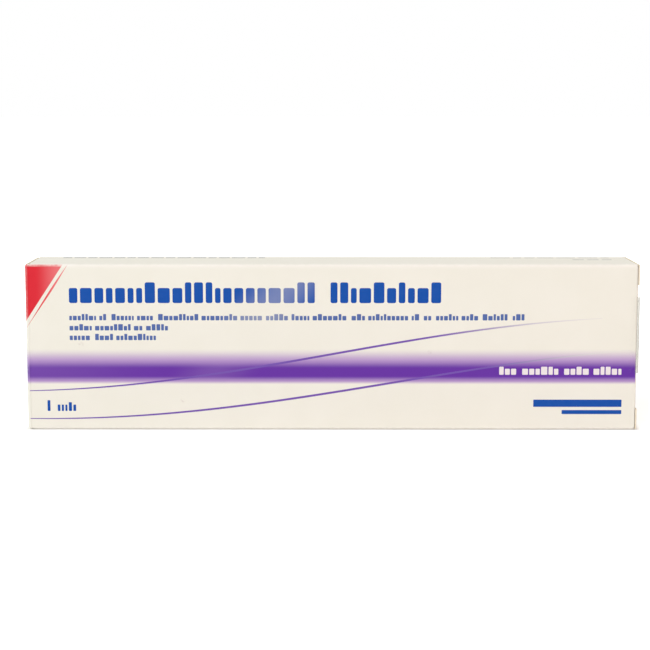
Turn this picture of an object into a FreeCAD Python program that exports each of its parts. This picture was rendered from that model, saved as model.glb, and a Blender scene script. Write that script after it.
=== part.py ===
"""A tuck-end folding carton for one test stick, with the pouch and the leaflet that it holds.

The carton stands on its long narrow side. X runs along its length, the front panel faces -Y, and Z is
up. It is a reverse tuck: the right closure hangs on the back panel and tucks in behind the front one,
under a clear seal, and the left closure hangs on the front panel and tucks in behind the back one.
"""

import FreeCAD, Part
import math
import os
import Sketcher

# Driving dimensions, in millimetres and degrees
SIZES = {
    "carton_length": 150.0,
    "carton_depth": 19.0,
    "carton_height": 41.0,
    "board": 0.4,
    "crease_radius": 0.65,
    "closure_gap": 0.15,
    "crease_relief": 0.8,
    "glue_flap_width": 12.0,
    "glue_flap_setback": 3.0,
    "glue_flap_mitre": 4.0,
    "seam_step": 0.1,
    "dust_flap_length": 13.4,
    "dust_flap_tuck_gap": 0.5,
    "dust_flap_hinge_gap": 0.3,
    "dust_flap_shoulder": 4.3,
    "dust_flap_notch": 1.4,
    "dust_flap_taper": 1.2,
    "dust_flap_corner": 1.5,
    "closure_side_gap": 0.2,
    "closure_hinge_mitre": 0.4,
    "slit_length": 5.0,
    "slit_width": 0.2,
    "tuck_clearance": 0.3,
    "tuck_fold_radius": 1.5,
    "tongue_reach": 10.0,
    "tongue_bow": 3.7,
    "tongue_corner": 3.0,
    "crease_running_gap": 0.05,
    "seal_film": 0.1,
    "seal_height": 18.8,
    "seal_lift": 3.0,
    "seal_lap": 2.1,
    "seal_corner": 0.6,
    "pouch_end_gap": 7.0,
    "pouch_top_gap": 4.8,
    "pouch_rim": 0.4,
    "pouch_end_seal": 11.0,
    "pouch_side_seal": 3.0,
    "pouch_bulge": 8.0,
    "pouch_slope": 52.0,
    "pouch_edge_radius": 1.2,
    "pouch_corner": 1.5,
    "tear_notch_place": 13.5,
    "tear_notch_depth": 1.5,
    "tear_notch_mouth": 1.2,
    "leaflet_end_gap": 23.0,
    "leaflet_top_gap": 3.8,
    "leaflet_layer": 0.16,
    "leaflet_air": 0.08,
    "leaflet_back_gap": 0.3,
    "contents_gap": 0.3,
}
LEAFLET_LAYERS = 7


class Size:
    """A length that carries both its value and the sheet expression that gives it."""

    def __init__(self, value, text):
        self.value = value
        self.text = text

    def __add__(self, other):
        other = as_size(other)
        return Size(self.value + other.value, f"({self.text} + {other.text})")

    def __sub__(self, other):
        other = as_size(other)
        return Size(self.value - other.value, f"({self.text} - {other.text})")

    def __mul__(self, factor):
        return Size(self.value * factor, f"({self.text} * {factor})")

    def __truediv__(self, divisor):
        return Size(self.value / divisor, f"({self.text} / {divisor})")

    def __neg__(self):
        return Size(-self.value, f"(-1 * {self.text})")


def as_size(length):
    if isinstance(length, Size):
        return length
    return Size(float(length), repr(float(length)))


def leg(hypotenuse, other_leg):
    """The remaining side of a right-angled triangle."""
    text = f"sqrt({hypotenuse.text} ^ 2 - {other_leg.text} ^ 2)"
    return Size(math.sqrt(hypotenuse.value**2 - other_leg.value**2), text)


def make_sheet(doc):
    sheet = doc.addObject("Spreadsheet::Sheet", "Sizes")
    for row, (alias, value) in enumerate(SIZES.items(), start=1):
        sheet.set(f"A{row}", alias)
        sheet.set(f"B{row}", str(value))
        sheet.setAlias(f"B{row}", alias)
    doc.recompute()
    return sheet


def size(sheet, alias):
    return Size(float(sheet.get(alias)), f"Sizes.{alias}")


def bind(thing, path, length):
    thing.setExpression(path, length.text)


def new_body(doc, name):
    body = doc.addObject("PartDesign::Body", name)
    body.Label = name
    return body


def origin_part(body, role):
    return next(part for part in body.Origin.OriginFeatures if part.Role == role)


def pin_point(sketch, geometry, end, u, v):
    """Holds one point of the outline at its two coordinates, measured from the sketch's root point."""
    for kind, coordinate in (("DistanceX", u), ("DistanceY", v)):
        pin_coordinate(sketch, kind, geometry, end, coordinate)


def pin_coordinate(sketch, kind, geometry, end, coordinate):
    """A coordinate of nothing puts the point on the axis; any other is a dimension tied to the sheet."""
    root = (-1, 1)
    if abs(coordinate.value) < 1e-9:
        alignment = "Vertical" if kind == "DistanceX" else "Horizontal"
        sketch.addConstraint(Sketcher.Constraint(alignment, *root, geometry, end))
        return
    if coordinate.value > 0:
        ends = (*root, geometry, end)
        reach = coordinate
    else:
        ends = (geometry, end, *root)
        reach = -coordinate
    number = sketch.addConstraint(Sketcher.Constraint(kind, *ends, reach.value))
    bind(sketch, f"Constraints[{number}]", reach)


def draw_loop(sketch, corners, arcs):
    """A closed outline through the corners. arcs gives, by a corner's number, the centre and the turn of
    the stretch that starts there: +1 anticlockwise, -1 clockwise. The other stretches are straight."""
    first = sketch.GeometryCount
    count = len(corners)
    spots = [FreeCAD.Vector(u.value, v.value, 0) for u, v in corners]
    starts = []
    for index, spot in enumerate(spots):
        following = spots[(index + 1) % count]
        if index not in arcs:
            sketch.addGeometry(Part.LineSegment(spot, following))
            starts.append((first + index, 1, 2))
            continue
        (cu, cv), turn = arcs[index]
        centre = FreeCAD.Vector(cu.value, cv.value, 0)
        begin = math.atan2(spot.y - centre.y, spot.x - centre.x)
        finish = math.atan2(following.y - centre.y, following.x - centre.x)
        if turn < 0:
            begin, finish = finish, begin
        circle = Part.Circle(centre, FreeCAD.Vector(0, 0, 1), (spot - centre).Length)
        sketch.addGeometry(Part.ArcOfCircle(circle, begin, finish))
        starts.append((first + index, 1, 2) if turn > 0 else (first + index, 2, 1))
    for index in range(count):
        geometry, _, finish_end = starts[index]
        following, begin_end, _ = starts[(index + 1) % count]
        joined = Sketcher.Constraint("Coincident", geometry, finish_end, following, begin_end)
        sketch.addConstraint(joined)
    for index, (u, v) in enumerate(corners):
        geometry, begin_end, _ = starts[index]
        pin_point(sketch, geometry, begin_end, u, v)
    for index, ((cu, cv), _) in arcs.items():
        chord = spots[(index + 1) % count] - spots[index]
        if abs(chord.x) > abs(chord.y):
            pin_coordinate(sketch, "DistanceY", first + index, 3, cv)
        else:
            pin_coordinate(sketch, "DistanceX", first + index, 3, cu)


def rectangle(low_u, low_v, high_u, high_v):
    return [(low_u, low_v), (high_u, low_v), (high_u, high_v), (low_u, high_v)]


def add_sketch(body, name, plane, loops, lift=None, shift=None):
    """loops is a list of (corners, arcs). lift moves the sketch along its plane's normal and shift moves
    it along its own first axis."""
    sketch = body.newObject("Sketcher::SketchObject", name)
    sketch.AttachmentSupport = [(origin_part(body, plane), "")]
    sketch.MapMode = "FlatFace"
    if lift is not None:
        bind(sketch, "AttachmentOffset.Base.z", lift)
    if shift is not None:
        bind(sketch, "AttachmentOffset.Base.x", shift)
    for corners, arcs in loops:
        draw_loop(sketch, corners, arcs)
    return sketch


def add_pad(body, name, sketch, length, both_ways=False, against_normal=False):
    pad = body.newObject("PartDesign::Pad", name)
    pad.Profile = sketch
    bind(pad, "Length", length)
    pad.Midplane = both_ways
    pad.Reversed = against_normal
    body.Document.recompute()
    return pad


def add_revolve(body, name, sketch, angle):
    """Turns the sketch about its own upright axis, towards +Y from a sketch that points to +X."""
    revolve = body.newObject("PartDesign::Revolution", name)
    revolve.Profile = sketch
    revolve.ReferenceAxis = (sketch, ["V_Axis"])
    revolve.Angle = angle
    body.Document.recompute()
    return revolve


def add_pocket(body, name, sketch, length):
    """A cut that reaches half its length to each side of the sketch and has to remove something."""
    before = body.Tip.Shape.Volume
    pocket = body.newObject("PartDesign::Pocket", name)
    pocket.Profile = sketch
    bind(pocket, "Length", length)
    pocket.Midplane = True
    body.Document.recompute()
    if not pocket.Shape.Volume < before:
        raise RuntimeError(f"{name} cuts nothing")
    return pocket


def edges_where(feature, wanted):
    """Names of the feature's edges whose middle point and direction pass the test."""
    names = []
    for number, edge in enumerate(feature.Shape.Edges, start=1):
        middle = edge.valueAt((edge.FirstParameter + edge.LastParameter) / 2)
        start, finish = edge.valueAt(edge.FirstParameter), edge.valueAt(edge.LastParameter)
        if wanted(middle, finish - start):
            names.append(f"Edge{number}")
    return names


def add_rounding(body, name, wanted, radius, kind="PartDesign::Fillet", path="Radius"):
    base = body.Tip
    names = edges_where(base, wanted)
    if not names:
        raise RuntimeError(f"{name} finds no edge")
    rounding = body.newObject(kind, name)
    rounding.Base = (base, names)
    bind(rounding, path, radius)
    body.Document.recompute()
    return rounding


def near(first, second):
    return abs(first - second) < 1e-4


def along(direction, axis):
    """True where an edge runs straight along one of the axes X, Y or Z, given as 0, 1 or 2."""
    return direction.Length > 1e-6 and near(abs(direction[axis]), direction.Length)


def at_any(place, choices):
    return any(near(place, choice) for choice in choices)


def on_corner_lines(axis, offset, levels):
    """The test for edges that run along X or Y, at an offset to either side and at these heights."""
    across = 1 - axis
    return (
        lambda middle, run: along(run, axis)
        and near(abs(middle[across]), offset)
        and at_any(middle.z, levels)
    )


def round_loop(centre_u, centre_v, radius):
    """A full circle as a loop of four arcs."""
    corners = [
        (centre_u + radius, centre_v),
        (centre_u, centre_v + radius),
        (centre_u - radius, centre_v),
        (centre_u, centre_v - radius),
    ]
    return corners, {number: ((centre_u, centre_v), +1) for number in range(4)}


def quarter_ring(centre_u, centre_v, outer, inner, side_u, side_v):
    """A quarter of a ring, which lies towards side_u and side_v of its centre, each +1 or -1."""
    corners = [
        (centre_u + outer * side_u, centre_v),
        (centre_u, centre_v + outer * side_v),
        (centre_u, centre_v + inner * side_v),
        (centre_u + inner * side_u, centre_v),
    ]
    centre = (centre_u, centre_v)
    return corners, {0: (centre, side_u * side_v), 2: (centre, -side_u * side_v)}


def closure_places(given):
    """Places that both closures share, seen at the right end, where the crease is at the back."""
    length, depth, board = given["carton_length"], given["carton_depth"], given["board"]
    crease, fold = given["crease_radius"], given["tuck_fold_radius"]
    tuck_face = -(depth / 2 - board - given["tuck_clearance"])
    hinge_y = depth / 2 - crease
    bow = hinge_y - tuck_face - given["tongue_bow"]
    return {
        "outer": length / 2,
        "inner": length / 2 - board,
        "panel_end": length / 2 - board - given["closure_gap"],
        "hinge": (length / 2 - crease, hinge_y),
        "fold": (length / 2 - fold, tuck_face + fold),
        "tuck_face": tuck_face,
        "bow": bow,
        "bow_centre": (length / 2 - fold, tuck_face + bow),
        "tip_x": length / 2 - fold - given["tongue_reach"],
    }


def add_closure_plate(body, given, places, hinge_edge_y):
    """The end panel with its two slit ears, which reach past the tuck fold to the front face."""
    mitre, crease = given["closure_hinge_mitre"], given["crease_radius"]
    depth, height = given["carton_depth"], given["carton_height"]
    low, high = given["closure_side_gap"], height - given["closure_side_gap"]
    slit = given["slit_length"]
    fold_y = places["fold"][1]
    mitre_y = places["hinge"][1] - mitre
    outline = [
        (-(depth / 2), low),
        (mitre_y - mitre, low),
        (mitre_y, crease),
        (hinge_edge_y, crease),
        (hinge_edge_y, height - crease),
        (mitre_y, height - crease),
        (mitre_y - mitre, high),
        (-(depth / 2), high),
        (-(depth / 2), high - slit),
        (fold_y, high - slit),
        (fold_y, low + slit),
        (-(depth / 2), low + slit),
    ]
    loops = [(outline, {})]
    sketch = add_sketch(body, "ClosurePlateOutline", "YZ_Plane", loops, lift=places["outer"])
    return add_pad(body, "ClosurePlate", sketch, given["board"], against_normal=True)


def add_tuck(body, given, places):
    """The tuck fold and the tongue, which bows inwards to swing out past the panel it is behind."""
    board, fold_radius = given["board"], given["tuck_fold_radius"]
    fold_x, fold_y = places["fold"]
    bow, bow_centre = places["bow"], places["bow_centre"]
    reach = given["tongue_reach"]
    tip = places["tip_x"]
    tuck_face = places["tuck_face"]
    outline = [
        (places["inner"], fold_y),
        (fold_x, tuck_face + board),
        (tip, tuck_face + bow - leg(bow - board, reach)),
        (tip, tuck_face + bow - leg(bow, reach)),
        (fold_x, tuck_face),
        (places["outer"], fold_y),
    ]
    arcs = {
        0: (places["fold"], -1),
        1: (bow_centre, -1),
        3: (bow_centre, +1),
        4: (places["fold"], +1),
    }
    height = given["carton_height"]
    sketch = add_sketch(body, "TuckOutline", "XY_Plane", [(outline, arcs)], lift=height / 2)
    slit_side = given["closure_side_gap"] + given["slit_length"]
    tongue_side = slit_side + given["slit_width"]
    add_pad(body, "Tuck", sketch, height - tongue_side * 2, both_ways=True)

    corner, past = given["tongue_corner"], given["tongue_corner"] / 2
    low_corner = [
        (tip + corner, tongue_side),
        (tip, tongue_side + corner),
        (tip - past, tongue_side + corner),
        (tip - past, slit_side),
        (tip + corner, slit_side),
    ]
    high_corner = [(x, height - z) for x, z in low_corner]
    low_round = {0: ((tip + corner, tongue_side + corner), -1)}
    high_round = {0: ((tip + corner, height - tongue_side - corner), +1)}
    loops = [(low_corner, low_round), (high_corner, high_round)]
    lift = -(tuck_face + bow / 2)
    corners = add_sketch(body, "TongueCornerOutline", "XZ_Plane", loops, lift=lift)
    return add_pocket(body, "TongueCorners", corners, bow)


def make_carton(doc, given):
    """One sheet of board: sleeve, glue flap, four dust flaps and the sealed right closure."""
    body = new_body(doc, "carton")
    length, depth, height = given["carton_length"], given["carton_depth"], given["carton_height"]
    board, crease = given["board"], given["crease_radius"]
    places = closure_places(given)
    panel_end = places["panel_end"]
    ring_end = panel_end - given["crease_relief"]
    half_depth = depth / 2

    outer = rectangle(-half_depth, as_size(0), half_depth, height)
    inner = rectangle(-half_depth + board, board, half_depth - board, height - board)
    section = add_sketch(body, "SleeveSection", "YZ_Plane", [(outer, {}), (inner, {})])
    add_pad(body, "Sleeve", section, ring_end * 2, both_ways=True)
    half_y = half_depth.value
    inner_y = half_y - board.value
    outer_levels = (0, height.value)
    inner_levels = (board.value, height.value - board.value)
    add_rounding(body, "LongCreases", on_corner_lines(0, half_y, outer_levels), crease)
    add_rounding(
        body, "LongCreaseInsides", on_corner_lines(0, inner_y, inner_levels), crease - board
    )

    front = rectangle(-half_depth, crease, -half_depth + board, height - crease)
    back = rectangle(half_depth - board, crease, half_depth, height - crease)
    panels = add_sketch(body, "WidePanelSections", "YZ_Plane", [(front, {}), (back, {})])
    add_pad(body, "WidePanels", panels, panel_end * 2, both_ways=True)
    crease_levels = ((crease, -1), (height - crease, +1))
    rings = [
        quarter_ring((half_depth - crease) * side, level, crease, crease - board, side, up)
        for side in (-1, +1)
        for level, up in crease_levels
    ]
    ring_sketch = add_sketch(body, "LongCreaseSections", "YZ_Plane", rings)
    add_pad(body, "LongCreaseEnds", ring_sketch, places["hinge"][0] * 2, both_ways=True)

    glue_edge = half_depth - board - given["glue_flap_width"]
    glue = rectangle(glue_edge, board, half_depth - board, board * 2)
    glue_section = add_sketch(body, "GlueFlapSection", "YZ_Plane", [(glue, {})])
    glue_length = (ring_end - given["glue_flap_setback"]) * 2
    add_pad(body, "GlueFlap", glue_section, glue_length, both_ways=True)
    add_rounding(
        body,
        "GlueFlapMitres",
        lambda middle, run: along(run, 2) and near(middle.y, glue_edge.value),
        given["glue_flap_mitre"],
        kind="PartDesign::Chamfer",
        path="Size",
    )
    seam = rectangle(half_depth - crease / 2, board, half_depth + board, board + given["seam_step"])
    seam_section = add_sketch(body, "SeamSection", "YZ_Plane", [(seam, {})])
    add_pocket(body, "Seam", seam_section, length)

    add_dust_flaps(body, given, places, ring_end)

    root = rectangle(ring_end, half_depth - board, places["outer"], half_depth)
    root_sketch = add_sketch(body, "RightCreaseRoot", "XY_Plane", [(root, {})], lift=height / 2)
    add_pad(body, "RightCrease", root_sketch, height - crease * 2, both_ways=True)
    add_closure_plate(body, given, places, half_depth)
    end_x, inner_x = places["outer"].value, places["inner"].value
    add_rounding(
        body,
        "RightCreaseOutside",
        lambda middle, run: along(run, 2) and near(middle.x, end_x) and near(middle.y, half_y),
        crease,
    )
    add_rounding(
        body,
        "RightCreaseInside",
        lambda middle, run: along(run, 2) and near(middle.x, inner_x) and near(middle.y, inner_y),
        crease - board,
    )
    hinge_x, hinge_y = places["hinge"]
    for name, (level, up) in zip(("RightLowCorner", "RightHighCorner"), crease_levels):
        ring = quarter_ring(as_size(0), level, crease, crease - board, +1, up)
        ring_sketch = add_sketch(
            body, name + "Section", "XZ_Plane", [ring], lift=-hinge_y, shift=hinge_x
        )
        add_revolve(body, name, ring_sketch, 90)
    add_tuck(body, given, places)

    bore = round_loop(-hinge_x, -hinge_y, crease + given["crease_running_gap"])
    clearance = add_sketch(body, "LeftCreaseClearance", "XY_Plane", [bore], lift=height / 2)
    add_pocket(body, "LeftCreaseRunningGap", clearance, height)
    return body


def add_dust_flaps(body, given, places, ring_end):
    """Two flaps at the right end, off the top and bottom panels, and their twins at the left."""
    depth, height, board = given["carton_depth"], given["carton_height"], given["board"]
    crease = given["crease_radius"]
    inner_face = depth / 2 - board
    tuck_y = -(inner_face - given["dust_flap_tuck_gap"])
    hinge_y = depth / 2 - crease * 2 - given["dust_flap_hinge_gap"]
    notch_y = tuck_y + given["dust_flap_notch"]
    taper = given["dust_flap_taper"]
    reach = given["dust_flap_length"]
    shoulder = given["dust_flap_shoulder"]
    upper = [
        (tuck_y, height),
        (tuck_y, height - shoulder),
        (notch_y, height - shoulder - given["dust_flap_notch"]),
        (notch_y + taper, height - reach),
        (hinge_y - taper * 2, height - reach),
        (hinge_y, height - crease * 2),
        (hinge_y, height),
    ]
    lower = [(y, height - z) for y, z in reversed(upper)]
    panel_end = places["panel_end"]
    outlines = [(upper, {}), (lower, {})]
    flap_sketch = add_sketch(body, "DustFlapOutlines", "YZ_Plane", outlines, lift=panel_end)
    plates = add_pad(body, "DustFlaps", flap_sketch, board, against_normal=True)
    low_root = rectangle(ring_end, as_size(0), panel_end, board)
    high_root = rectangle(ring_end, height - board, panel_end, height)
    root_loops = [(low_root, {}), (high_root, {})]
    root_lift = -(tuck_y + hinge_y) / 2
    root_sketch = add_sketch(body, "DustFlapRoots", "XZ_Plane", root_loops, lift=root_lift)
    roots = add_pad(body, "DustFlapCreases", root_sketch, hinge_y - tuck_y, both_ways=True)
    pattern = body.newObject("PartDesign::PolarPattern", "LeftDustFlaps")
    pattern.Originals = [plates, roots]
    pattern.Axis = (origin_part(body, "Z_Axis"), [""])
    pattern.Angle = 360
    pattern.Occurrences = 2
    body.Tip = pattern
    body.Document.recompute()
    end_x = panel_end.value
    inner_x = end_x - board.value
    outer_levels = (0, height.value)
    inner_levels = (board.value, height.value - board.value)
    tips = (reach.value, height.value - reach.value)
    add_rounding(body, "DustFlapCreaseOutsides", on_corner_lines(1, end_x, outer_levels), crease)
    add_rounding(
        body, "DustFlapCreaseInsides", on_corner_lines(1, inner_x, inner_levels), crease - board
    )
    add_rounding(
        body,
        "DustFlapCorners",
        lambda middle, run: near(abs(run.x), board.value) and at_any(middle.z, tips),
        given["dust_flap_corner"],
    )


def make_left_closure(doc, given):
    """Built at the right end and turned half round. Its crease is a bead with round ends on its hinge."""
    body = new_body(doc, "left_closure")
    height, crease = given["carton_height"], given["crease_radius"]
    places = closure_places(given)
    hinge_x, hinge_y = places["hinge"]
    add_closure_plate(body, given, places, hinge_y)
    axis = as_size(0)
    half_bead = [(axis, axis), (crease, crease), (crease, height - crease), (axis, height)]
    arcs = {0: ((axis, crease), +1), 2: ((axis, height - crease), +1)}
    loops = [(half_bead, arcs)]
    bead = add_sketch(body, "CreaseBeadSection", "XZ_Plane", loops, lift=-hinge_y, shift=hinge_x)
    add_revolve(body, "CreaseBead", bead, 360)
    add_tuck(body, given, places)
    half_turn = FreeCAD.Rotation(FreeCAD.Vector(0, 0, 1), 180)
    body.Placement = FreeCAD.Placement(FreeCAD.Vector(0, 0, 0), half_turn)
    return body


def make_seal(doc, given):
    """A strip of clear film over the right end, from the front panel round to the back one."""
    body = new_body(doc, "clear_seal")
    film, corner = given["seal_film"], given["seal_corner"]
    face = given["carton_depth"] / 2
    end = given["carton_length"] / 2
    lap = end - given["seal_lap"]
    outer_y, outer_x = face + film, end + film
    bend_x, bend_y = outer_x - corner, outer_y - corner
    outline = [
        (lap, -outer_y),
        (bend_x, -outer_y),
        (outer_x, -bend_y),
        (outer_x, bend_y),
        (bend_x, outer_y),
        (lap, outer_y),
        (lap, face),
        (bend_x, face),
        (end, bend_y),
        (end, -bend_y),
        (bend_x, -face),
        (lap, -face),
    ]
    arcs = {
        1: ((bend_x, -bend_y), +1),
        3: ((bend_x, bend_y), +1),
        7: ((bend_x, bend_y), -1),
        9: ((bend_x, -bend_y), -1),
    }
    middle = given["carton_height"] / 2 + given["seal_lift"]
    section = add_sketch(body, "SealSection", "XY_Plane", [(outline, arcs)], lift=middle)
    add_pad(body, "SealStrip", section, given["seal_height"], both_ways=True)
    return body


def leaflet_thickness(given):
    return given["leaflet_layer"] * LEAFLET_LAYERS + given["leaflet_air"] * (LEAFLET_LAYERS - 1)


def make_leaflet(doc, given):
    """Instructions on one long sheet, folded to and fro into layers and standing on edge."""
    body = new_body(doc, "leaflet")
    layer, air = given["leaflet_layer"], given["leaflet_air"]
    pitch = layer + air
    back = given["carton_depth"] / 2 - given["board"] - given["leaflet_back_gap"]
    floor = given["board"] * 2
    turn = air / 2 + layer
    ceiling = given["carton_height"] - given["board"]
    low, high = floor + turn, ceiling - given["leaflet_top_gap"] - turn
    there, back_again = [], []
    for number in range(LEAFLET_LAYERS):
        rising = number % 2 == 0
        rear = back - pitch * number
        begin, finish = (low, high) if rising else (high, low)
        outgoing, returning = (rear, rear - layer) if rising else (rear - layer, rear)
        there += [(outgoing, begin), (outgoing, finish)]
        back_again += [(returning, begin), (returning, finish)]
    arcs = {}
    for number in range(LEAFLET_LAYERS - 1):
        rising = number % 2 == 0
        centre = (back - pitch * number - layer - air / 2, high if rising else low)
        arcs[2 * number + 1] = (centre, +1 if rising else -1)
        arcs[4 * LEAFLET_LAYERS - 3 - 2 * number] = (centre, -1 if rising else +1)
    section = add_sketch(body, "LeafletSection", "YZ_Plane", [(there + back_again[::-1], arcs)])
    sheet_length = given["carton_length"] - given["leaflet_end_gap"] * 2
    add_pad(body, "FoldedSheet", section, sheet_length, both_ways=True)
    return body


def make_pouch(doc, given):
    """A sealed foil pouch: flat crimped rims and a raised middle over the stick that it holds."""
    body = new_body(doc, "foil_pouch")
    half_length = given["carton_length"] / 2 - given["pouch_end_gap"]
    floor = given["board"] * 2
    rim_top = given["carton_height"] - given["board"] - given["pouch_top_gap"]
    inner_face = given["carton_depth"] / 2 - given["board"]
    leaflet_front = inner_face - given["leaflet_back_gap"] - leaflet_thickness(given)
    mid_y = leaflet_front - given["contents_gap"] - given["pouch_bulge"] / 2
    rim = rectangle(-half_length, floor, half_length, rim_top)
    rim_sketch = add_sketch(body, "RimOutline", "XZ_Plane", [(rim, {})], lift=-mid_y)
    add_pad(body, "Rim", rim_sketch, given["pouch_rim"], both_ways=True)
    end, side = given["pouch_end_seal"], given["pouch_side_seal"]
    middle = rectangle(-half_length + end, floor + side, half_length - end, rim_top - side)
    bulge_sketch = add_sketch(body, "BulgeOutline", "XZ_Plane", [(middle, {})], lift=-mid_y)
    for name, behind in (("FrontBulge", False), ("BackBulge", True)):
        bulge = add_pad(body, name, bulge_sketch, given["pouch_bulge"] / 2, against_normal=behind)
        bind(bulge, "TaperAngle", -given["pouch_slope"])
    body.Document.recompute()
    mid, half_bulge = mid_y.value, given["pouch_bulge"].value / 2
    rim_half = given["pouch_rim"].value / 2
    add_rounding(
        body,
        "BulgeEdges",
        lambda middle, run: abs(middle.y - mid) > rim_half + 1e-3,
        given["pouch_edge_radius"],
    )
    add_rounding(
        body,
        "RimCorners",
        lambda middle, run: along(run, 1) and near(abs(middle.x), half_length.value),
        given["pouch_corner"],
    )
    notch_x = -half_length + given["tear_notch_place"]
    mouth, depth = given["tear_notch_mouth"] / 2, given["tear_notch_depth"]
    notches = [
        ([(notch_x - mouth, edge), (notch_x + mouth, edge), (notch_x, tip)], {})
        for edge, tip in ((floor, floor + depth), (rim_top, rim_top - depth))
    ]
    notch_sketch = add_sketch(body, "TearNotchOutlines", "XZ_Plane", notches, lift=-mid_y)
    add_pocket(body, "TearNotches", notch_sketch, given["pouch_bulge"])
    return body


def check_part(doc, pieces):
    for thing in doc.Objects:
        if "Invalid" in thing.State or "Error" in thing.State:
            raise RuntimeError(f"{thing.Name} did not build: {thing.State}")
    for piece in pieces:
        if piece.Shape.isNull() or not piece.Shape.isValid():
            raise RuntimeError(f"{piece.Label} has no valid shape")
        if len(piece.Shape.Solids) != 1:
            raise RuntimeError(f"{piece.Label} is {len(piece.Shape.Solids)} solids")


def main():
    doc = FreeCAD.newDocument("folding_carton")
    sheet = make_sheet(doc)
    given = {alias: size(sheet, alias) for alias in SIZES}
    makers = (make_carton, make_left_closure, make_seal, make_pouch, make_leaflet)
    pieces = [make(doc, given) for make in makers]
    doc.recompute()
    check_part(doc, pieces)
    os.makedirs("parts", exist_ok=True)
    for piece in pieces:
        piece.Shape.exportStep(f"parts/{piece.Label}.step")
        box = piece.Shape.BoundBox
        limits = (box.XMin, box.XMax, box.YMin, box.YMax, box.ZMin, box.ZMax)
        print(piece.Label, round(piece.Shape.Volume, 1), [round(v, 2) for v in limits])


main()
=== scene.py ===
"""A tuck-end folding carton: printed board, a clear seal, and the pouch and leaflet that it holds."""

import math
import random

import bmesh
import bpy
from mathutils import Matrix, Vector, noise


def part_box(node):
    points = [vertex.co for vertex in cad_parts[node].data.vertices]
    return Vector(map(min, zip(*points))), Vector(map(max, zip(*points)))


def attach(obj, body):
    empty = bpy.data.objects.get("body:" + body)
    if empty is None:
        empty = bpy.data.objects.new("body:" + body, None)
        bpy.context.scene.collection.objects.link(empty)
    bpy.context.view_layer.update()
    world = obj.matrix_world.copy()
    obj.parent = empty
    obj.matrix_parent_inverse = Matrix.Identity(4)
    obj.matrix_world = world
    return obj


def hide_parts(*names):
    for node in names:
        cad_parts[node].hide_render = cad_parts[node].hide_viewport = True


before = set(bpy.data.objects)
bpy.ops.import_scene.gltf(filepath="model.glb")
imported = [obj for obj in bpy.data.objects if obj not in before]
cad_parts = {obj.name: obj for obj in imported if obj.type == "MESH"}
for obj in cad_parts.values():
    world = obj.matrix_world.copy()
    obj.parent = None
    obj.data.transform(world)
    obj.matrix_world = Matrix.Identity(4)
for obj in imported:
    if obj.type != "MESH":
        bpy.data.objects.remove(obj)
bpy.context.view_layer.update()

MM = 0.001
carton_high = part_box("carton")[1]

# The carton's outer sizes in millimetres, read from the frame
HALF_LENGTH = carton_high.x / MM
HALF_DEPTH = carton_high.y / MM
HEIGHT = carton_high.z / MM
MIDDLE = HEIGHT / 2

# The board's thickness, the reach of its folds, and where the front panel stops short of the end plate
BOARD = 0.4
CREASE = 0.65
END_CLEARANCE = 0.15
PANEL_END = HALF_LENGTH - BOARD - END_CLEARANCE

# A margin that keeps a limit clear of the face that it tells apart from its neighbours
HAIR = 0.05
FACE_LINE = HALF_DEPTH - BOARD - HAIR

# Colours as they look, red, green and blue from 0 to 255
WHITE = (255, 255, 255)
COATED_BOARD = (245, 243, 232)
COATED_BOARD_MOTTLE = (243, 241, 229)
BARE_BOARD = (241, 232, 211)
BARE_BOARD_FLECK = (224, 212, 187)
WORN_COAT_AND_HIGHLIGHT = (253, 250, 243)
SMUDGE_AND_EDGE_GREY = (214, 204, 196)
BAND_PURPLE = (98, 38, 162)
BAND_LILAC = (183, 150, 206)
BAND_TEXT = (243, 236, 238)
CORNER_RED = (220, 24, 44)
CORNER_PINK = (236, 116, 120)
TITLE_BLUE = (8, 80, 172)
TEXT_BLUE = (22, 80, 164)
TOP_GREY = (120, 128, 140)
LINE_PURPLE = (112, 74, 172)
FILM_GREY = (202, 204, 193)
FOIL_DARK = (196, 198, 202)
FOIL_PALE = (222, 223, 226)
LEAFLET_PAPER = (240, 240, 234)
LEAFLET_TEXT = (120, 124, 140)
FLOOR_WHITE = (244, 244, 244)
KEY_LIGHT = (250, 255, 254)
FILL_LIGHT = (255, 206, 196)
REAR_LIGHT = (255, 252, 238)

# The printed band: heights above the bottom edge, in millimetres
BAND_TAIL_TOP = 20.3
BAND_TAIL_FULL = 16.8
BAND_CORE_TOP = 17.6
BAND_CORE_FULL = 15.2
BAND_CORE_LOW_FULL = 13.4
BAND_CORE_LOW = 11.9
BAND_LOW_FULL = 12.2
BAND_LOW = 11.2

# The corner flash: its reach along the top and down the left edge, and the line beside it
CORNER_ACROSS = 9.4
CORNER_DOWN = 14.2
CORNER_LINE_GAP = 0.75
CORNER_LINE_WIDTH = 0.5

# Printed ink stands this far out of the board's face and reaches as far into it
INK = 0.012


def colour(shade):
    """The shade in linear light, with a fourth value of 1."""

    def linear(level):
        share = level / 255
        return share / 12.92 if share <= 0.04045 else ((share + 0.055) / 1.055) ** 2.4

    return (*(linear(level) for level in shade), 1.0)


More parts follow.
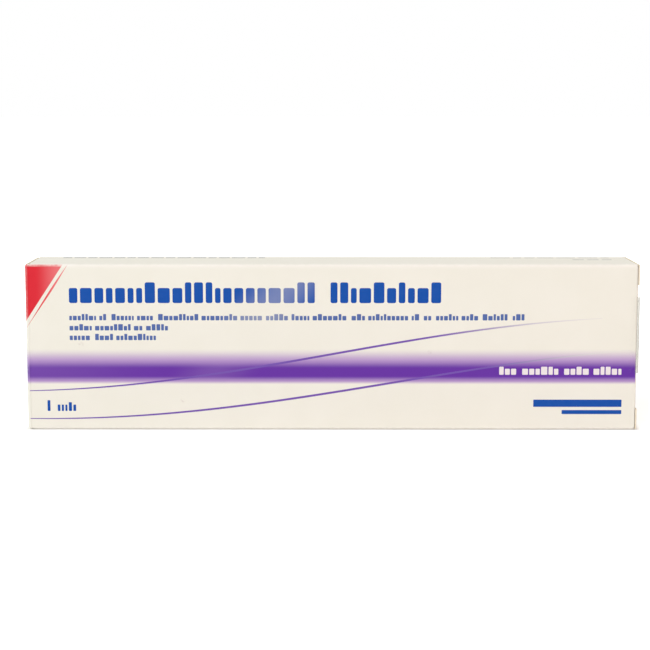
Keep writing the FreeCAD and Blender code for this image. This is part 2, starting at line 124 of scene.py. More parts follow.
class Finish:
    """A material under construction. Places in it are in millimetres on the part."""

    def __init__(self, name):
        self.material = bpy.data.materials.new(name)
        self.material.use_nodes = True
        self.nodes = self.material.node_tree.nodes
        self.links = self.material.node_tree.links
        self.shader = self.nodes["Principled BSDF"]
        texture = self.nodes.new("ShaderNodeTexCoord")
        scale = self.nodes.new("ShaderNodeVectorMath")
        scale.operation = "SCALE"
        scale.inputs["Scale"].default_value = 1 / MM
        self.links.new(texture.outputs["Object"], scale.inputs[0])
        self.place = scale.outputs[0]
        self.x, self.y, self.z = self.split(self.place)
        self.normal = texture.outputs["Normal"]

    def feed(self, socket, value):
        """Links a socket to another one, or sets it to a plain value."""
        if isinstance(value, bpy.types.NodeSocket):
            self.links.new(value, socket)
        else:
            socket.default_value = value

    def split(self, vector):
        node = self.nodes.new("ShaderNodeSeparateXYZ")
        self.links.new(vector, node.inputs[0])
        return node.outputs

    def math(self, operation, *values):
        node = self.nodes.new("ShaderNodeMath")
        node.operation = operation
        for socket, value in zip(node.inputs, values):
            self.feed(socket, value)
        return node.outputs[0]

    def chain(self, operation, values):
        """One operation over any number of values, from the first to the last."""
        total = values[0]
        for value in values[1:]:
            total = self.math(operation, total, value)
        return total

    def add(self, *values):
        return self.chain("ADD", values)

    def times(self, *values):
        return self.chain("MULTIPLY", values)

    def either(self, *values):
        return self.chain("MAXIMUM", values)

    def above(self, value, limit):
        return self.math("GREATER_THAN", value, limit)

    def below(self, value, limit):
        return self.math("LESS_THAN", value, limit)

    def rise(self, value, start, end):
        """0 at start and 1 at end, with a smooth step between them. start may be the higher."""
        node = self.nodes.new("ShaderNodeMapRange")
        node.interpolation_type = "SMOOTHSTEP"
        self.feed(node.inputs["Value"], value)
        node.inputs["From Min"].default_value = start
        node.inputs["From Max"].default_value = end
        return node.outputs["Result"]

    def mix(self, share, first, second):
        """The first colour where the share is 0 and the second where it is 1."""
        node = self.nodes.new("ShaderNodeMix")
        node.data_type = "RGBA"
        self.feed(node.inputs[0], share)
        self.feed(node.inputs[6], first)
        self.feed(node.inputs[7], second)
        return node.outputs[2]

    def grain(self, per_mm, detail, stretch=(1, 1, 1)):
        """Soft noise from 0 to 1 with this many cells to a millimetre."""
        place = self.place
        if stretch != (1, 1, 1):
            mapping = self.nodes.new("ShaderNodeMapping")
            mapping.inputs["Scale"].default_value = stretch
            self.links.new(place, mapping.inputs["Vector"])
            place = mapping.outputs[0]
        node = self.nodes.new("ShaderNodeTexNoise")
        node.inputs["Scale"].default_value = per_mm
        node.inputs["Detail"].default_value = detail
        self.links.new(place, node.inputs["Vector"])
        return node.outputs["Fac"]

    def bump(self, height, depth_mm, under=None):
        """A surface whose dents are this deep, laid over another bump if one is given."""
        node = self.nodes.new("ShaderNodeBump")
        node.inputs["Strength"].default_value = 1.0
        node.inputs["Distance"].default_value = depth_mm * MM
        self.feed(node.inputs["Height"], height)
        if under is not None:
            self.links.new(under, node.inputs["Normal"])
        return node.outputs[0]

    def set(self, **values):
        """Sets the shader's own sockets, named with underscores for spaces."""
        for name, value in values.items():
            self.feed(self.shader.inputs[name.replace("_", " ")], value)


def painted_glare(finish, most):
    """How much the ink is lightened by a painted glare: a soft slanting streak of sheen left of the
    middle.
    """
    slant, centre, reach = 0.84, -40.8, 12.0
    across = finish.math("SUBTRACT", finish.x, finish.times(finish.z, slant))
    away = finish.math("ABSOLUTE", finish.math("SUBTRACT", across, centre))
    return finish.times(finish.rise(away, reach, 0.0), most)


def coated_side(finish):
    """1 on the coated side of the board and 0 on its bare side and on its cut edges."""
    leaning_out = 0.3
    flap_place, tongue_length = 0.75, 11.6
    flap_line = HALF_LENGTH - BOARD - flap_place
    plate_line = HALF_LENGTH - BOARD - HAIR
    level_line = MIDDLE - BOARD - HAIR
    tongue_line = HALF_LENGTH - tongue_length
    from_middle = finish.math("SUBTRACT", finish.z, MIDDLE)
    places = (finish.x, finish.y, from_middle)
    far_x, far_y, far_z = (finish.math("ABSOLUTE", place) for place in places)
    normal = finish.split(finish.normal)
    outward = [
        finish.above(finish.times(lean, finish.math("SIGN", place)), leaning_out)
        for lean, place in zip(normal, places)
    ]
    hinge_side = finish.above(finish.times(finish.x, finish.y), 0.0)
    tuck_side = finish.below(finish.times(finish.x, finish.y), 0.0)

    # In turn: the front and back, the top and bottom, the ends with their flaps, and the tongues
    before_plate = finish.below(far_x, plate_line)
    wide = finish.times(
        finish.above(far_y, FACE_LINE), finish.either(before_plate, hinge_side), outward[1]
    )
    level = finish.times(finish.above(far_z, level_line), before_plate, outward[2])
    not_face = finish.either(finish.below(far_y, FACE_LINE), finish.above(far_x, plate_line))
    end = finish.times(finish.above(far_x, flap_line), not_face, outward[0])
    in_sleeve = finish.below(far_y, FACE_LINE)
    tongue = finish.times(finish.above(far_x, tongue_line), in_sleeve, tuck_side, outward[1])
    return finish.either(wide, level, end, tongue)


def crease_wear_and_highlight(finish):
    """Where the folds are lighter: partly the coat cracked and worn at the folds, partly a painted
    highlight along them.
    """
    fold_start, fold_full = -0.12, 0.2
    everywhere, in_patches, at_ends = 0.25, 0.45, 0.3
    from_middle = finish.math("SUBTRACT", finish.z, MIDDLE)
    far_x = finish.math("SUBTRACT", finish.math("ABSOLUTE", finish.x), HALF_LENGTH - CREASE)
    far_y = finish.math("SUBTRACT", finish.math("ABSOLUTE", finish.y), HALF_DEPTH - CREASE)
    far_z = finish.math("SUBTRACT", finish.math("ABSOLUTE", from_middle), MIDDLE - CREASE)
    long_fold = finish.math("MINIMUM", far_y, far_z)
    hinge_side = finish.above(finish.times(finish.x, finish.y), 0.0)
    end_fold = finish.math("MINIMUM", far_y, far_x)
    patchy = finish.rise(finish.grain(0.8, detail=3.0), 0.3, 0.75)
    along_box = finish.rise(long_fold, fold_start, fold_full)
    across_end = finish.times(finish.rise(end_fold, fold_start, fold_full), hinge_side, at_ends)
    lightened = finish.add(finish.times(patchy, in_patches), everywhere)
    return finish.times(finish.either(along_box, across_end), lightened)


def painted_fold_highlight(finish):
    """Paler board from just under the top fold upwards, over the top panel too: a painted highlight that
    widens the fold's sheen.
    """
    tint_ends, clear_from, paler = 1.35, 0.7, 0.3
    return finish.times(finish.rise(finish.z, HEIGHT - tint_ends, HEIGHT - clear_from), paler)


def greyed_panel_end(finish):
    """How much the front panel's cut end is greyed. It is greyer towards the top."""
    width, clean_up_to, greyest_from, most = 0.5, 10.0, 30.0, 0.4
    at_cut = finish.rise(finish.x, PANEL_END - width, PANEL_END)
    in_front = finish.below(finish.y, -FACE_LINE)
    on_panel = finish.below(finish.x, PANEL_END + HAIR)
    share = finish.times(finish.rise(finish.z, clean_up_to, greyest_from), most)
    return finish.times(at_cut, in_front, on_panel, share)


def band_print(finish, under):
    """The band along the front: a lilac fade over a solid purple core, paler towards the left."""
    glare, pale_start, palest, pale_share = 0.16, -40.0, -72.0, 0.1
    tail = finish.times(
        finish.rise(finish.z, BAND_TAIL_TOP, BAND_TAIL_FULL),
        finish.rise(finish.z, BAND_LOW, BAND_LOW_FULL),
    )
    core = finish.times(
        finish.rise(finish.z, BAND_CORE_TOP, BAND_CORE_FULL),
        finish.rise(finish.z, BAND_CORE_LOW, BAND_CORE_LOW_FULL),
    )
    with_tail = finish.mix(tail, under, colour(BAND_LILAC))
    at_left = finish.times(finish.rise(finish.x, pale_start, palest), pale_share)
    # The purple is paler in the painted glare streak, and paler towards the left.
    paler = finish.add(painted_glare(finish, glare), at_left)
    purple = finish.mix(paler, colour(BAND_PURPLE), colour(BAND_LILAC))
    return finish.mix(core, with_tail, purple)


def corner_print(finish, under):
    """A flash across the top left corner and a thin line beside it, which tapers at its ends."""
    flash_blur, line_blur = 0.08, 0.07
    red_up_to, pink_from = CORNER_ACROSS * 0.25, CORNER_ACROSS * 0.95
    across = finish.math("ADD", finish.x, HALF_LENGTH)
    down = finish.math("SUBTRACT", HEIGHT, finish.z)
    slope = math.hypot(1 / CORNER_ACROSS, 1 / CORNER_DOWN)
    share = finish.add(finish.times(across, 1 / CORNER_ACROSS), finish.times(down, 1 / CORNER_DOWN))
    beyond = finish.times(finish.math("SUBTRACT", share, 1.0), 1 / slope)
    flash = finish.rise(beyond, flash_blur, -flash_blur)
    middle = CORNER_LINE_GAP + CORNER_LINE_WIDTH / 2
    off_line = finish.math("ABSOLUTE", finish.math("SUBTRACT", beyond, middle))
    run = finish.times(finish.math("ARCTAN2", down, across), 2.0)
    half_width = finish.times(finish.math("SINE", run), CORNER_LINE_WIDTH / 2)
    line = finish.rise(finish.math("SUBTRACT", off_line, half_width), line_blur, -line_blur)
    fade = finish.rise(across, red_up_to, pink_from)
    red = finish.mix(fade, colour(CORNER_RED), colour(CORNER_PINK))
    return finish.mix(finish.either(flash, line), under, red)


def smudges(finish):
    """Three faint smudged marks on the front panel: place and size in millimetres."""
    marks = ((-36.8, 7.1, 0.9), (-61.7, 21.2, 1.1), (23.9, 19.3, 0.8))
    strength = 0.55
    total = 0.0
    for across, up, size in marks:
        off_x = finish.math("SUBTRACT", finish.x, across)
        off_z = finish.math("SUBTRACT", finish.z, up)
        squares = finish.add(finish.times(off_x, off_x), finish.times(off_z, off_z))
        total = finish.add(total, finish.rise(finish.math("SQRT", squares), size, 0.0))
    in_front = finish.below(finish.y, 0.0)
    patchy = finish.rise(finish.grain(1.6, detail=3.0), 0.35, 0.7)
    return finish.times(total, in_front, patchy, strength)


def board_material():
    """Coated and printed outside, bare inside and on the cut edges."""
    bare_rough, coat_smoother, mottle_rougher, gloss = 0.87, -0.27, 0.05, 0.4
    grain_depth, wave_depth = 0.004, 0.25
    finish = Finish("printed_board_finish")
    coat = coated_side(finish)
    mottle = finish.rise(finish.grain(0.09, detail=3.0), 0.25, 0.75)
    paper = finish.mix(mottle, colour(COATED_BOARD), colour(COATED_BOARD_MOTTLE))
    # A painted highlight in the strip under the top fold.
    paper = finish.mix(painted_fold_highlight(finish), paper, colour(WORN_COAT_AND_HIGHLIGHT))
    paper = finish.mix(smudges(finish), paper, colour(SMUDGE_AND_EDGE_GREY))
    printed = corner_print(finish, band_print(finish, paper))
    face = finish.below(finish.y, -(HALF_DEPTH - BOARD / 2))
    on_panel = finish.times(face, finish.below(finish.x, PANEL_END + HAIR))
    round_left_fold = finish.times(
        finish.below(finish.y, -(HALF_DEPTH - CREASE)),
        finish.below(finish.x, -(HALF_LENGTH - CREASE)),
    )
    outside = finish.mix(finish.either(on_panel, round_left_fold), paper, printed)
    # The folds lightened by wear and by a painted highlight.
    outside = finish.mix(crease_wear_and_highlight(finish), outside, colour(WORN_COAT_AND_HIGHLIGHT))
    # The front panel's cut end is greyed, more towards the top.
    outside = finish.mix(greyed_panel_end(finish), outside, colour(SMUDGE_AND_EDGE_GREY))
    fibre = finish.grain(2.2, detail=4.0, stretch=(1.0, 0.35, 1.0))
    fleck = finish.rise(fibre, 0.58, 0.72)
    bare = finish.mix(fleck, colour(BARE_BOARD), colour(BARE_BOARD_FLECK))
    base = finish.mix(coat, bare, outside)
    rough = finish.add(
        finish.times(coat, coat_smoother), finish.times(mottle, mottle_rougher), bare_rough
    )
    grain = finish.bump(finish.grain(3.0, detail=3.0), grain_depth)
    waves = finish.bump(finish.grain(0.035, detail=1.0), wave_depth, under=grain)
    finish.set(Base_Color=base, Roughness=rough, Specular_IOR_Level=gloss, Normal=waves)
    return finish.material


def ink_material(name, shade, cover=1.0):
    """Flat ink, lightened towards the board's colour by a painted glare, and slightly uneven."""
    glare, unevenness = 0.2, 0.014
    finish = Finish(name)
    uneven = finish.times(finish.grain(0.9, detail=3.0), unevenness)
    # The board's colour shows through where the painted glare falls, where the ink is uneven, and where
    # it covers less.
    bare = finish.math("MINIMUM", finish.add(painted_glare(finish, glare), uneven, 1.0 - cover), 1.0)
    finish.set(Base_Color=finish.mix(bare, colour(shade), colour(COATED_BOARD)), Roughness=0.42)
    finish.set(Specular_IOR_Level=0.12)
    return finish.material


def fading_ink_material(name, shade, full, gone):
    """Ink that thins out almost to nothing between two places along the carton."""
    thinnest = 0.92
    finish = Finish(name)
    thin = finish.times(finish.rise(finish.x, full, gone), thinnest)
    finish.set(Base_Color=finish.mix(thin, colour(shade), colour(COATED_BOARD)), Roughness=0.42)
    return finish.material


def film_material():
    """Clear film: it lets what is behind it show, and greys on edge and at its two bends. The grey at the
    bends, more at the front one, is partly the film's haze and partly painted shade of the fold behind
    it.
    """
    haze, bend_grey, more_in_front = 0.004, 0.22, 0.22
    on_edge, more_in_corner = 0.15, 0.45
    bend_start, bend_full = 0.7, 0.35
    lap_start, lap_full = 1.2, 0.7
    finish = Finish("clear_film_finish")
    nodes, links = finish.nodes, finish.links
    clear = nodes.new("ShaderNodeBsdfTransparent")
    clear.inputs["Color"].default_value = colour(WHITE)
    facing = nodes.new("ShaderNodeLayerWeight")
    facing.inputs["Blend"].default_value = 0.5
    far_y = finish.math("ABSOLUTE", finish.y)
    in_corner = finish.times(
        finish.rise(finish.x, HALF_LENGTH - bend_start, HALF_LENGTH - bend_full),
        finish.rise(far_y, HALF_DEPTH - lap_start, HALF_DEPTH - lap_full),
    )
    in_front = finish.below(finish.y, 0.0)
    # Grey at the bends, more at the front: partly haze, partly painted shade.
    bend_greying = finish.times(in_corner, finish.add(finish.times(in_front, more_in_front), bend_grey))
    grazing = finish.math("POWER", facing.outputs["Facing"], 2.0)
    greyed = finish.times(grazing, finish.add(finish.times(in_corner, more_in_corner), on_edge))
    share = finish.math("MINIMUM", finish.add(greyed, bend_greying, haze), 1.0)
    mixer = nodes.new("ShaderNodeMixShader")
    links.new(share, mixer.inputs[0])
    links.new(clear.outputs[0], mixer.inputs[1])
    links.new(finish.shader.outputs[0], mixer.inputs[2])
    links.new(mixer.outputs[0], nodes["Material Output"].inputs["Surface"])
    streak = finish.bump(finish.grain(0.5, detail=2.0, stretch=(1.0, 1.0, 0.2)), 0.01)
    finish.set(Base_Color=colour(FILM_GREY), Roughness=0.2, Normal=streak)
    return finish.material


def foil_material():
    """Dull metal foil with broad dents and a fine grain."""
    smoothest, rougher = 0.24, 0.16
    dent_depth, grain_depth = 0.22, 0.01
    finish = Finish("pouch_foil_finish")
    crumple = finish.grain(0.35, detail=4.0)
    fine = finish.grain(2.5, detail=3.0)
    tone = finish.mix(crumple, colour(FOIL_DARK), colour(FOIL_PALE))
    rough = finish.add(finish.times(fine, rougher), smoothest)
    dents = finish.bump(crumple, dent_depth)
    surface = finish.bump(fine, grain_depth, under=dents)
    finish.set(Base_Color=tone, Metallic=0.92, Roughness=rough, Normal=surface)
    return finish.material


def paper_material():
    """Thin white paper with faint grey lines of print across its broad faces."""
    line_pitch, line_low, line_high = 1.6, 0.42, 0.78
    margin, faintness, facing_out = 6.0, 0.45, 0.8
    finish = Finish("leaflet_paper_finish")
    low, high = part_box("leaflet")
    phase = finish.math("FRACT", finish.math("DIVIDE", finish.z, line_pitch))
    row = finish.times(finish.above(phase, line_low), finish.below(phase, line_high))
    word_noise = finish.grain(0.55, detail=1.0, stretch=(1.0, 1.0, 1.0 / line_pitch))
    words = finish.above(word_noise, 0.45)
    inside = finish.times(
        finish.below(finish.math("ABSOLUTE", finish.x), high.x / MM - margin),
        finish.above(finish.z, low.z / MM + margin / 2),
        finish.below(finish.z, high.z / MM - margin / 2),
    )
    broad = finish.above(finish.math("ABSOLUTE", finish.split(finish.normal)[1]), facing_out)
    printed = finish.times(row, words, inside, broad, faintness)
    base = finish.mix(printed, colour(LEAFLET_PAPER), colour(LEAFLET_TEXT))
    fibre = finish.bump(finish.grain(4.0, detail=3.0), 0.006)
    finish.set(Base_Color=base, Roughness=0.78, Normal=fibre)
    return finish.material


def put_on(node, material):
    """Puts a finish on every slot of a node that comes from the frame."""
    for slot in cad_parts[node].material_slots:
        slot.material = material


def new_piece(name, mesh, material, body):
    """A piece of the dressed part that moves with a body."""
    piece = bpy.data.objects.new(name, mesh)
    bpy.context.scene.collection.objects.link(piece)
    mesh.materials.append(material)
    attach(piece, body)
    return piece


def finished_mesh(name, form):
    mesh = bpy.data.meshes.new(name)
    bmesh.ops.recalc_face_normals(form, faces=form.faces)
    form.to_mesh(mesh)
    form.free()
    return mesh


# Each takes a drawing in millimetres from level ground to a panel of the carton
FRONT = Matrix(((1, 0, 0, 0), (0, 0, -1, -HALF_DEPTH), (0, 1, 0, 0), (0, 0, 0, 1)))
TOP = Matrix(((1, 0, 0, 0), (0, 1, 0, 0), (0, 0, 1, HEIGHT), (0, 0, 0, 1)))


def lay_ink(name, form, panel, material):
    """Thickens a flat form upwards into ink and moves it to a panel."""
    grown = bmesh.ops.extrude_face_region(form, geom=form.faces[:])
    raised = [item for item in grown["geom"] if isinstance(item, bmesh.types.BMVert)]
    bmesh.ops.translate(form, verts=raised, vec=(0, 0, 2 * INK))
    form.transform(Matrix.Scale(MM, 4) @ panel)
    new_piece(name, finished_mesh(name, form), material, "carton_body")


def print_blocks(name, blocks, panel, material, rounding):
    """Blocks of ink on a panel. Each is (left, low, right, high) in millimetres on that panel."""
    form = bmesh.new()
    for left, low, right, high in blocks:
        centre = Matrix.Translation(((left + right) / 2, (low + high) / 2, -INK))
        shape = Matrix.Diagonal((right - left, high - low, 1, 1))
        bmesh.ops.create_grid(form, x_segments=1, y_segments=1, size=0.5, matrix=centre @ shape)
    corners = list(form.verts)
    bmesh.ops.bevel(
        form,
        geom=corners,
        offset=rounding,
        affect="VERTICES",
        segments=4,
        profile=0.5,
        material=-1,
        clamp_overlap=True,
    )
    lay_ink(name, form, panel, material)


def row_of_blocks(left, right, low, high, widths, gap, seed, tall=0.0):
    """Blocks of uneven width that fill a row. One in four stands taller by tall."""
    tall_share, least_share = 0.25, 0.6
    chance = random.Random(seed)
    blocks = []
    start = left
    while start < right:
        stop = min(start + chance.uniform(*widths), right)
        top = high + (tall if chance.random() < tall_share else 0.0)
        if stop - start > widths[0] * least_share:
            blocks.append((start, low, stop, top))
        start = stop + gap
    return blocks


def words_of_blocks(left, right, low, high, widths, gap, space, seed, tall):
    """A row of short blocks in groups of two to nine, with a space between the groups."""
    chance = random.Random(seed)
    blocks = []
    start = left
    while start < right - space:
        letters = chance.randint(2, 9)
        stop = min(start + letters * (sum(widths) / 2 + gap), right)
        blocks += row_of_blocks(start, stop, low, high, widths, gap, chance.random(), tall)
        start = stop + space
    return blocks


def curved_line(name, left, right, height_at, width_at, material):
    """A thin printed line along the front whose height and width follow two formulas."""
    pieces = 90
    form = bmesh.new()
    bmesh.ops.create_grid(form, x_segments=pieces, y_segments=1, size=0.5)
    for vertex in form.verts:
        share = vertex.co.x + 0.5
        across = left + (right - left) * share
        half = width_at(share) / 2
        vertex.co = (across, height_at(across) + (half if vertex.co.y > 0 else -half), -INK)
    lay_ink(name, form, FRONT, material)


def front_print():
    """Plain blocks stand where a carton has its lettering.

    Places are in millimetres across from the carton's middle and up from its bottom edge.
    """
    title = ink_material("title_ink", TITLE_BLUE)
    text = ink_material("text_ink", TEXT_BLUE, cover=0.91)
    knocked_out = ink_material("band_ink", BAND_TEXT)
    left = -64.3

    large = {"low": 31.4, "high": 35.1, "widths": (1.3, 3.0), "gap": 0.65, "tall": 1.4}
    words = row_of_blocks(left, -2.9, seed=11, **large)
    words += row_of_blocks(-0.4, 26.6, seed=4, **large)
    print_blocks("title_print", words, FRONT, title, rounding=0.45)

    small = {"widths": (0.55, 1.15), "gap": 0.24, "space": 0.8, "tall": 0.45}
    letter_height = 1.1
    lines = []
    for low, right, seed in ((27.15, 47.0, 5), (24.65, -40.2, 8), (22.25, -42.2, 3)):
        lines += words_of_blocks(left, right, low, low + letter_height, seed=seed, **small)
    print_blocks("small_print", lines, FRONT, text, rounding=0.15)

    on_band = {"widths": (0.9, 1.6), "gap": 0.3, "space": 1.0, "tall": 0.5}
    claim = words_of_blocks(41.0, 71.0, low=13.7, high=15.2, seed=6, **on_band)
    print_blocks("band_print", claim, FRONT, knocked_out, rounding=0.2)

    beside = {"low": 4.6, "high": 6.2, "widths": (0.5, 0.8), "gap": 0.35, "tall": 0.6}
    count = [(-70.1, 4.6, -69.4, 7.3)]
    count += row_of_blocks(-67.6, -62.7, seed=9, **beside)
    print_blocks("count_print", count, FRONT, title, rounding=0.15)

    bars = [(49.5, 5.7, 71.2, 7.5), (56.5, 3.9, 71.2, 4.9)]
    print_blocks("mark_print", bars, FRONT, title, rounding=0.14)


def top_print():
    """Three grey rows on the top panel, placed from its middle in millimetres."""
    text = ink_material("top_ink", TOP_GREY, cover=0.6)
    rows = row_of_blocks(-68.0, -17.0, low=5.6, high=7.6, widths=(2.0, 3.4), gap=0.6, seed=21)
    rows += row_of_blocks(40.0, 70.0, low=5.9, high=6.9, widths=(2.0, 5.0), gap=0.8, seed=22)
    rows += row_of_blocks(60.0, 71.0, low=0.8, high=1.8, widths=(1.6, 3.0), gap=0.8, seed=23)
    print_blocks("top_print", rows, TOP, text, rounding=0.14)


def front_lines():
    """Two thin lines that swell across the front and fade out as they rise to the right."""
    start = -PANEL_END + 0.1
    lift, run = 9.2, 74.0
    upper_level, upper_bend, upper_fades_from, upper_end = 18.8, 1.45, 20.0, 66.0
    lower_level, lower_bend, lower_fades_from, lower_end = 11.9, 1.35, 36.0, 73.0
    lower_shift = 16.0
    thinnest, growth, fullness = 0.18, 0.34, 0.8

    def upper(across):
        return upper_level + lift * math.sin(across / run * upper_bend)

    def lower(across):
        return lower_level + lift * math.sin((across - lower_shift) / run * lower_bend)

    def swelling(share):
        return thinnest + growth * math.sin(math.pi * share) ** fullness

    ink = fading_ink_material("upper_line_ink", LINE_PURPLE, upper_fades_from, upper_end)
    curved_line("upper_line", start, upper_end, upper, swelling, ink)
    ink = fading_ink_material("lower_line_ink", LINE_PURPLE, lower_fades_from, lower_end)
    curved_line("lower_line", start, lower_end, lower, swelling, ink)


def seal_strip():
    """Clear film from the front panel round the right end to the back. It stands off the end a little."""
    low, high = (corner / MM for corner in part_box("clear_seal"))
    off_board, off_end = 0.012, 0.16
    film = high.y - HALF_DEPTH - off_board
    bend_x = PANEL_END + HAIR
    bend_y = high.y - (high.x + off_end - bend_x)
    form = bmesh.new()
    ends = [form.verts.new((low.x, low.y, level)) for level in (low.z, high.z)]
    last = [form.edges.new(ends)]

    def straight(step):
        grown = bmesh.ops.extrude_edge_only(form, edges=last)["geom"]
        corners = [item for item in grown if isinstance(item, bmesh.types.BMVert)]
        bmesh.ops.translate(form, verts=corners, vec=step)
        return [item for item in grown if isinstance(item, bmesh.types.BMEdge)][:1]

    def quarter_turn(centre):
        turned = bmesh.ops.spin(
            form, geom=last, cent=centre, axis=(0, 0, 1), angle=math.pi / 2, steps=8
        )["geom_last"]
        return [item for item in turned if isinstance(item, bmesh.types.BMEdge)]

    last = straight((bend_x - low.x, 0, 0))
    last = quarter_turn((bend_x, -bend_y, 0))
    last = straight((0, 2 * bend_y, 0))
    last = quarter_turn((bend_x, bend_y, 0))
    last = straight((low.x - bend_x, 0, 0))
    bmesh.ops.recalc_face_normals(form, faces=form.faces)
    bmesh.ops.solidify(form, geom=form.faces[:], thickness=film)
    form.transform(Matrix.Scale(MM, 4))
    mesh = finished_mesh("seal_strip", form)
    piece = new_piece("seal_strip", mesh, film_material(), "carton_body")
    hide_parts("clear_seal")


def foil_pouch():
    """Two sheets of foil sealed in ribbed rims, drawn down over the stick between them."""
    low, high = (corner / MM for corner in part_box("foil_pouch"))
    half_length = high.x
    middle = Vector((0, (low.y + high.y) / 2, (low.z + high.z) / 2))
    half_height = (high.z - low.z) / 2
    rib_pitch, rib_depth, plain_edge = 1.1, 0.1, 0.8
    end_seal, side_seal, foil, bulge_spare = 11.0, 3.0, 0.15, 0.12
    half_bulge = (high.y - low.y) / 2 - bulge_spare
    end_shoulder, side_shoulder = 7.0, 4.4
    notch_place, notch_depth, notch_mouth = 13.5, 1.5, 1.2
    form = bmesh.new()
    bmesh.ops.create_grid(form, x_segments=420, y_segments=64, size=1.0)
    grown = bmesh.ops.extrude_face_region(form, geom=form.faces[:])
    backs = {item for item in grown["geom"] if isinstance(item, bmesh.types.BMVert)}

    def fullness(across, up):
        """How far the foil stands off the rim, as a share of the bulge."""
        from_end = half_length - end_seal - abs(across)
        from_side = half_height - side_seal - abs(up)
        if from_end <= 0 or from_side <= 0:
            return 0.0
        return math.tanh(from_end / end_shoulder) * math.tanh(from_side / side_shoulder)

    def dented(across, up, side):
        """How much of the bulge is left at a place. The two sheets have dents of their own."""
        spot = Vector((across * 0.11, up * 0.2, 3.0 * side))
        crumple = noise.noise(spot) * 0.55 + noise.noise(spot * 2.7) * 0.3
        return 0.9 + 0.1 * crumple

    def past_notch(across, up):
        """Draws the long edges in at the two tear notches."""
        open_share = 1 - abs(across + half_length - notch_place) / (notch_mouth / 2)
        over_seal = (abs(up) - (half_height - side_seal)) / side_seal
        if open_share <= 0 or over_seal <= 0:
            return up
        return up - math.copysign(notch_depth * open_share * over_seal, up)

    for vertex in form.verts:
        across = vertex.co.x * half_length
        up = past_notch(across, vertex.co.y * half_height)
        side = 1 if vertex in backs else -1
        lift = foil + (half_bulge - foil) * fullness(across, up) * dented(across, up, side)
        ribbed = abs(across) > half_length - end_seal + plain_edge
        rib = rib_depth * math.cos(math.tau * across / rib_pitch) if ribbed else 0.0
        vertex.co = (across, middle.y + side * lift + rib, middle.z + up)
    form.transform(Matrix.Scale(MM, 4))
    mesh = finished_mesh("sealed_pouch", form)
    mesh.shade_smooth()
    piece = new_piece("sealed_pouch", mesh, foil_material(), "carton_body")
    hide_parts("foil_pouch")


def camera():
    """The view of the photograph: in front, a little above, with a long lens."""
    sensor, focal_pixels, frame_pixels = 36.0, 1683.0, 650.0
    eye_across, eye_away, eye_up = -0.5, 408.0, 81.5
    tilt_down, turn_left = 7.745, 0.176
    data = bpy.data.cameras.new("camera")
    data.sensor_width = sensor
    data.lens = sensor * focal_pixels / frame_pixels
    eye = bpy.data.objects.new("camera", data)
    eye.location = Vector((eye_across, -eye_away - HALF_DEPTH, eye_up)) * MM
    eye.rotation_euler = (math.radians(90 - tilt_down), 0, math.radians(turn_left))
    bpy.context.scene.collection.objects.link(eye)
    bpy.context.scene.camera = eye


def background_share(nodes, links):
    """1 for what the camera sees, directly or in gloss or through film, and 0 for light."""
    path = nodes.new("ShaderNodeLightPath")
    total = path.outputs["Is Camera Ray"]
    for name in ("Is Glossy Ray", "Is Transmission Ray"):
        node = nodes.new("ShaderNodeMath")
        node.operation = "MAXIMUM"
        links.new(total, node.inputs[0])
        links.new(path.outputs[name], node.inputs[1])
        total = node.outputs[0]
    return total


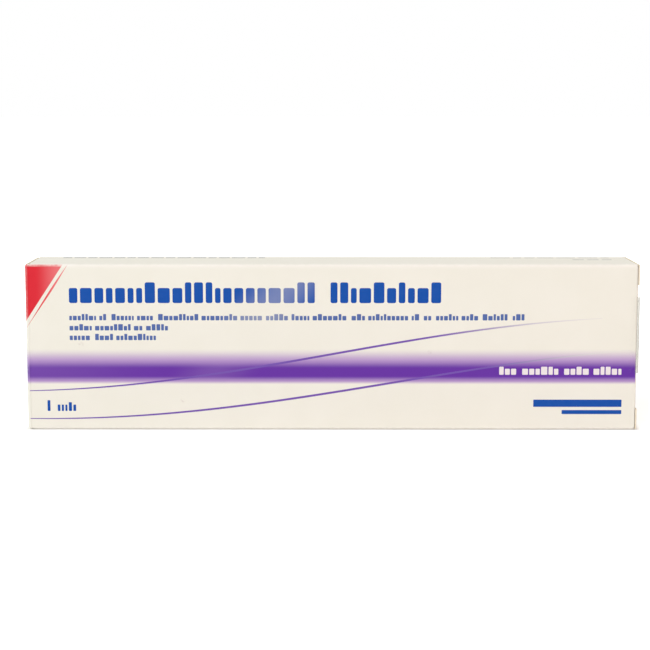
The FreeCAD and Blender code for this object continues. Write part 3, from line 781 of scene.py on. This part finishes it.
def floor():
    """A pale floor that takes the carton's shadow, with a painted contact shadow right at the carton, and
    whitens away from it.
    """
    half_width_m, sunk = 6.0, 0.05
    touching, near, far = 0.1, 0.42, 1.0
    near_from, far_start, far_from = 1.8, 10.0, 220.0
    form = bmesh.new()
    bmesh.ops.create_grid(form, x_segments=1, y_segments=1, size=half_width_m)
    bmesh.ops.translate(form, verts=form.verts, vec=(0, 0, -sunk * MM))
    mesh = finished_mesh("floor", form)
    piece = bpy.data.objects.new("floor", mesh)
    bpy.context.scene.collection.objects.link(piece)
    finish = Finish("floor_finish")
    out_x = finish.math("SUBTRACT", finish.math("ABSOLUTE", finish.x), HALF_LENGTH)
    out_y = finish.math("SUBTRACT", finish.math("ABSOLUTE", finish.y), HALF_DEPTH)
    out_x, out_y = (finish.math("MAXIMUM", out, 0.0) for out in (out_x, out_y))
    squares = finish.add(finish.times(out_x, out_x), finish.times(out_y, out_y))
    distance = finish.math("SQRT", squares)
    # The glow is least where the floor meets the carton, a painted contact shadow, and grows with
    # distance from it.
    beside = finish.times(finish.rise(distance, 0.0, near_from), near - touching)
    away = finish.times(finish.rise(distance, far_start, far_from), far - near)
    whiter = finish.add(beside, away, touching)
    seen = finish.times(background_share(finish.nodes, finish.links), whiter)
    finish.set(Base_Color=colour(FLOOR_WHITE), Roughness=0.9, Emission_Strength=seen)
    finish.set(Emission_Color=colour(WHITE))
    mesh.materials.append(finish.material)


def world_light():
    """White all round: bright to the camera, and a softer light on the carton."""
    ambient, seen = 0.36, 1.0
    world = bpy.data.worlds.new("studio")
    bpy.context.scene.world = world
    world.use_nodes = True
    nodes, links = world.node_tree.nodes, world.node_tree.links
    shader = nodes["Background"]
    node = nodes.new("ShaderNodeMapRange")
    links.new(background_share(nodes, links), node.inputs["Value"])
    node.inputs["To Min"].default_value = ambient
    node.inputs["To Max"].default_value = seen
    links.new(node.outputs["Result"], shader.inputs["Strength"])
    shader.inputs["Color"].default_value = (1, 1, 1, 1)


def lamp(name, place, size, power, shade):
    """An oblong lamp, placed in metres and aimed at the middle of the carton."""
    aim = Vector((0, 0, MIDDLE * MM))
    data = bpy.data.lights.new(name, "AREA")
    data.shape = "RECTANGLE"
    data.size, data.size_y = size
    data.energy = power
    data.color = colour(shade)[:3]
    light = bpy.data.objects.new(name, data)
    light.location = place
    light.rotation_euler = (aim - Vector(place)).to_track_quat("-Z", "Y").to_euler()
    bpy.context.scene.collection.objects.link(light)


def studio_light():
    """A key lamp and a warm fill from the front, and two lamps behind that light the top."""
    lamp("key", place=(-0.55, -0.8, 0.8), size=(0.9, 0.6), power=8.0, shade=KEY_LIGHT)
    lamp("fill", place=(0.45, -0.5, 0.3), size=(0.5, 0.5), power=1.0, shade=FILL_LIGHT)
    for name, across in (("rear_left", -0.85), ("rear_right", 0.85)):
        lamp(name, place=(across, 0.7, 0.42), size=(0.5, 0.5), power=3.0, shade=REAR_LIGHT)


def finishes_on_the_frame():
    """Finishes for the nodes that stay as they come from the frame."""
    board = board_material()
    put_on("carton", board)
    put_on("left_closure", board)
    put_on("leaflet", paper_material())


bpy.context.scene.view_settings.view_transform = "Standard"
finishes_on_the_frame()
front_print()
top_print()
front_lines()
seal_strip()
foil_pouch()
floor()
world_light()
studio_light()
camera()
